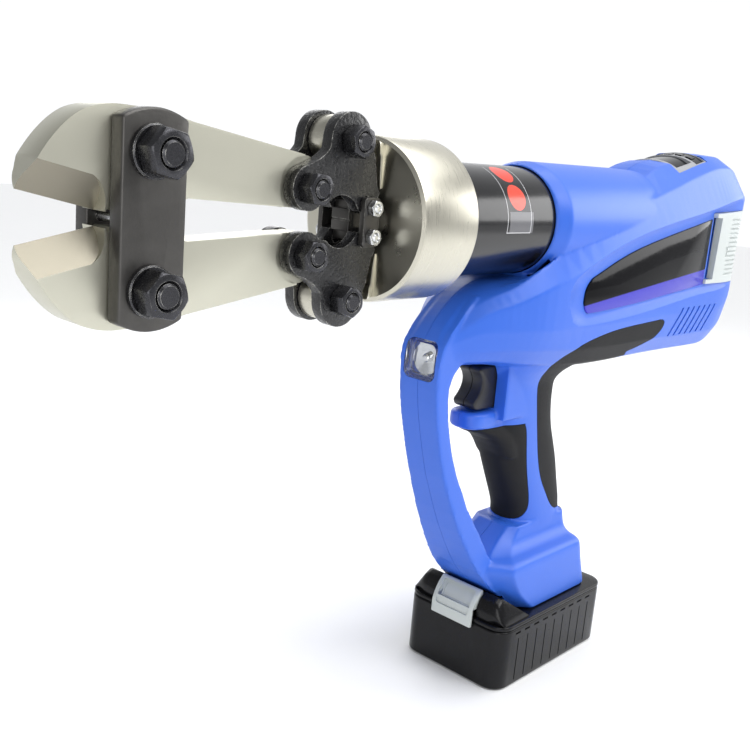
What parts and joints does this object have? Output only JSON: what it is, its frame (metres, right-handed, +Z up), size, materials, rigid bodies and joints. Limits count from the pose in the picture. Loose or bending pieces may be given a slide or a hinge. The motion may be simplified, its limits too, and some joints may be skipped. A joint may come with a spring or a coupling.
{
  "type": "cordless hydraulic cutter",
  "caption": "Pistol-grip battery hydraulic cutter with a turning bolt-cutter head, toggle levers, guarded trigger and slide-on battery.",
  "frame": {"origin": "centre of the battery's bottom face", "axes": "+X towards the jaws, +Y the tool's left, +Z up; the head's axis runs along +X at 280 mm height"},
  "size_m": [0.552, 0.08, 0.3286],
  "materials": {
    "blue_plastic": "satin moulded royal blue",
    "grip_rubber": "soft matt",
    "seal_rubber": "soft matt",
    "reservoir_rubber": "matt",
    "white_plastic": "satin off-white",
    "button_plastic": "satin off-white",
    "grey_plastic": "satin grey",
    "gearbox_plastic": "matt dark grey",
    "black_plastic": "satin black",
    "trigger_plastic": "satin dark grey",
    "gloss_black_panel": "gloss black",
    "clear_lens": "clear",
    "lamp_reflector": "bright",
    "circuit_board": "green board",
    "satin_steel": "satin nickel, slightly warm",
    "jaw_steel": "satin nickel, slightly warm",
    "polished_steel": "hard chrome",
    "gloss_black_cylinder": "gloss black",
    "dark_steel": "black oxide with light scratches",
    "black_oxide": "black oxide",
    "black_cast": "rough black, bright on worn edges",
    "zinc_steel": "bright zinc",
    "pump_metal": "machined",
    "motor_can": "plated can",
    "cell_can": "sleeved cells"
  },
  "bodies": {
    "housing": {"left_housing_shell": "blue_plastic", "right_housing_shell": "blue_plastic", "shell_screw_1": "zinc_steel", "shell_screw_2": "zinc_steel", "shell_screw_3": "zinc_steel", "rear_grip_rubber": "grip_rubber", "front_grip_rubber": "grip_rubber", "rear_cap": "white_plastic", "left_label_panel": "gloss_black_panel", "right_label_panel": "gloss_black_panel", "lamp_lens": "clear_lens", "lamp_reflector": "lamp_reflector", "display_frame": "grey_plastic", "display_window": "gloss_black_panel", "pump_block": "pump_metal", "gearbox": "gearbox_plastic", "motor": "motor_can", "oil_reservoir": "reservoir_rubber", "control_board": "circuit_board", "trigger_switch": "black_plastic"},
    "head": {"cylinder_collar": "satin_steel", "hydraulic_cylinder": "gloss_black_cylinder", "upper_ear_bolt": "black_oxide", "lower_ear_bolt": "black_oxide", "upper_ear_nut": "black_oxide", "lower_ear_nut": "black_oxide"},
    "ram": {"piston_rod": "polished_steel", "piston_seal": "seal_rubber", "crosshead_block": "dark_steel", "left_link_plate": "black_cast", "right_link_plate": "black_cast", "upper_link_bolt": "zinc_steel", "lower_link_bolt": "zinc_steel", "upper_link_nut": "zinc_steel", "lower_link_nut": "zinc_steel"},
    "upper_lever": {"upper_left_lever_cheek": "black_cast", "upper_right_lever_cheek": "black_cast", "upper_tail_bolt": "black_oxide", "upper_tail_nut": "black_oxide"},
    "lower_lever": {"lower_left_lever_cheek": "black_cast", "lower_right_lever_cheek": "black_cast", "lower_tail_bolt": "black_oxide", "lower_tail_nut": "black_oxide"},
    "jaw_carrier": {"left_jaw_plate": "dark_steel", "right_jaw_plate": "dark_steel", "upper_pivot_bolt": "black_oxide", "lower_pivot_bolt": "black_oxide", "upper_pivot_nut": "black_oxide", "lower_pivot_nut": "black_oxide", "upper_pivot_washer": "black_oxide", "lower_pivot_washer": "black_oxide", "jaw_stop_pin": "zinc_steel"},
    "upper_jaw_body": {"upper_jaw": "jaw_steel"},
    "lower_jaw_body": {"lower_jaw": "jaw_steel"},
    "trigger_body": {"trigger": "trigger_plastic"},
    "battery": {"battery_case": "black_plastic", "battery_cover": "black_plastic", "battery_cells": "cell_can"},
    "release_button": {"battery_button": "button_plastic"}
  },
  "joints": [
    {"name": "head_swivel", "type": "hinge", "parent": "housing", "child": "head", "pos_m": [0.02, 0, 0.28], "axis": [1, 0, 0], "range_deg": [-175, 175]},
    {"name": "ram_stroke", "type": "slide", "parent": "head", "child": "ram", "axis": [1, 0, 0], "range_m": [0, 0.02]},
    {"name": "upper_lever_pivot", "type": "hinge", "parent": "head", "child": "upper_lever", "pos_m": [0.192, 0, 0.316], "axis": [0, -1, 0], "range_deg": [0, 36.5]},
    {"name": "lower_lever_pivot", "type": "hinge", "parent": "head", "child": "lower_lever", "pos_m": [0.192, 0, 0.244], "axis": [0, 1, 0], "range_deg": [0, 36.5]},
    {"name": "jaw_plate_slide", "type": "slide", "parent": "head", "child": "jaw_carrier", "axis": [1, 0, 0], "range_m": [0, 0.0101]},
    {"name": "upper_jaw_pivot", "type": "hinge", "parent": "jaw_carrier", "child": "upper_jaw_body", "pos_m": [0.3, 0, 0.306], "axis": [0, 1, 0], "range_deg": [0, 12.6]},
    {"name": "lower_jaw_pivot", "type": "hinge", "parent": "jaw_carrier", "child": "lower_jaw_body", "pos_m": [0.3, 0, 0.254], "axis": [0, -1, 0], "range_deg": [0, 12.6]},
    {"name": "trigger_pull", "type": "slide", "parent": "housing", "child": "trigger_body", "axis": [-1, 0, 0], "range_m": [0, 0.006], "stiffness_N_per_m": 1500, "springref_m": -0.003},
    {"name": "battery_slide", "type": "slide", "parent": "housing", "child": "battery", "axis": [1, 0, 0], "range_m": [0, 0.11]},
    {"name": "battery_button_press", "type": "slide", "parent": "battery", "child": "release_button", "axis": [0, 0, -1], "range_m": [0, 0.004], "stiffness_N_per_m": 1200, "springref_m": -0.003}
  ],
  "couplings": [
    {"joint": "upper_lever_pivot", "follows": "ram_stroke", "rad_per_m": 31.765},
    {"joint": "lower_lever_pivot", "follows": "ram_stroke", "rad_per_m": 31.765},
    {"joint": "jaw_plate_slide", "follows": "ram_stroke", "ratio": 0.5},
    {"joint": "upper_jaw_pivot", "follows": "ram_stroke", "rad_per_m": 10.909},
    {"joint": "lower_jaw_pivot", "follows": "ram_stroke", "rad_per_m": 10.909}
  ]
}
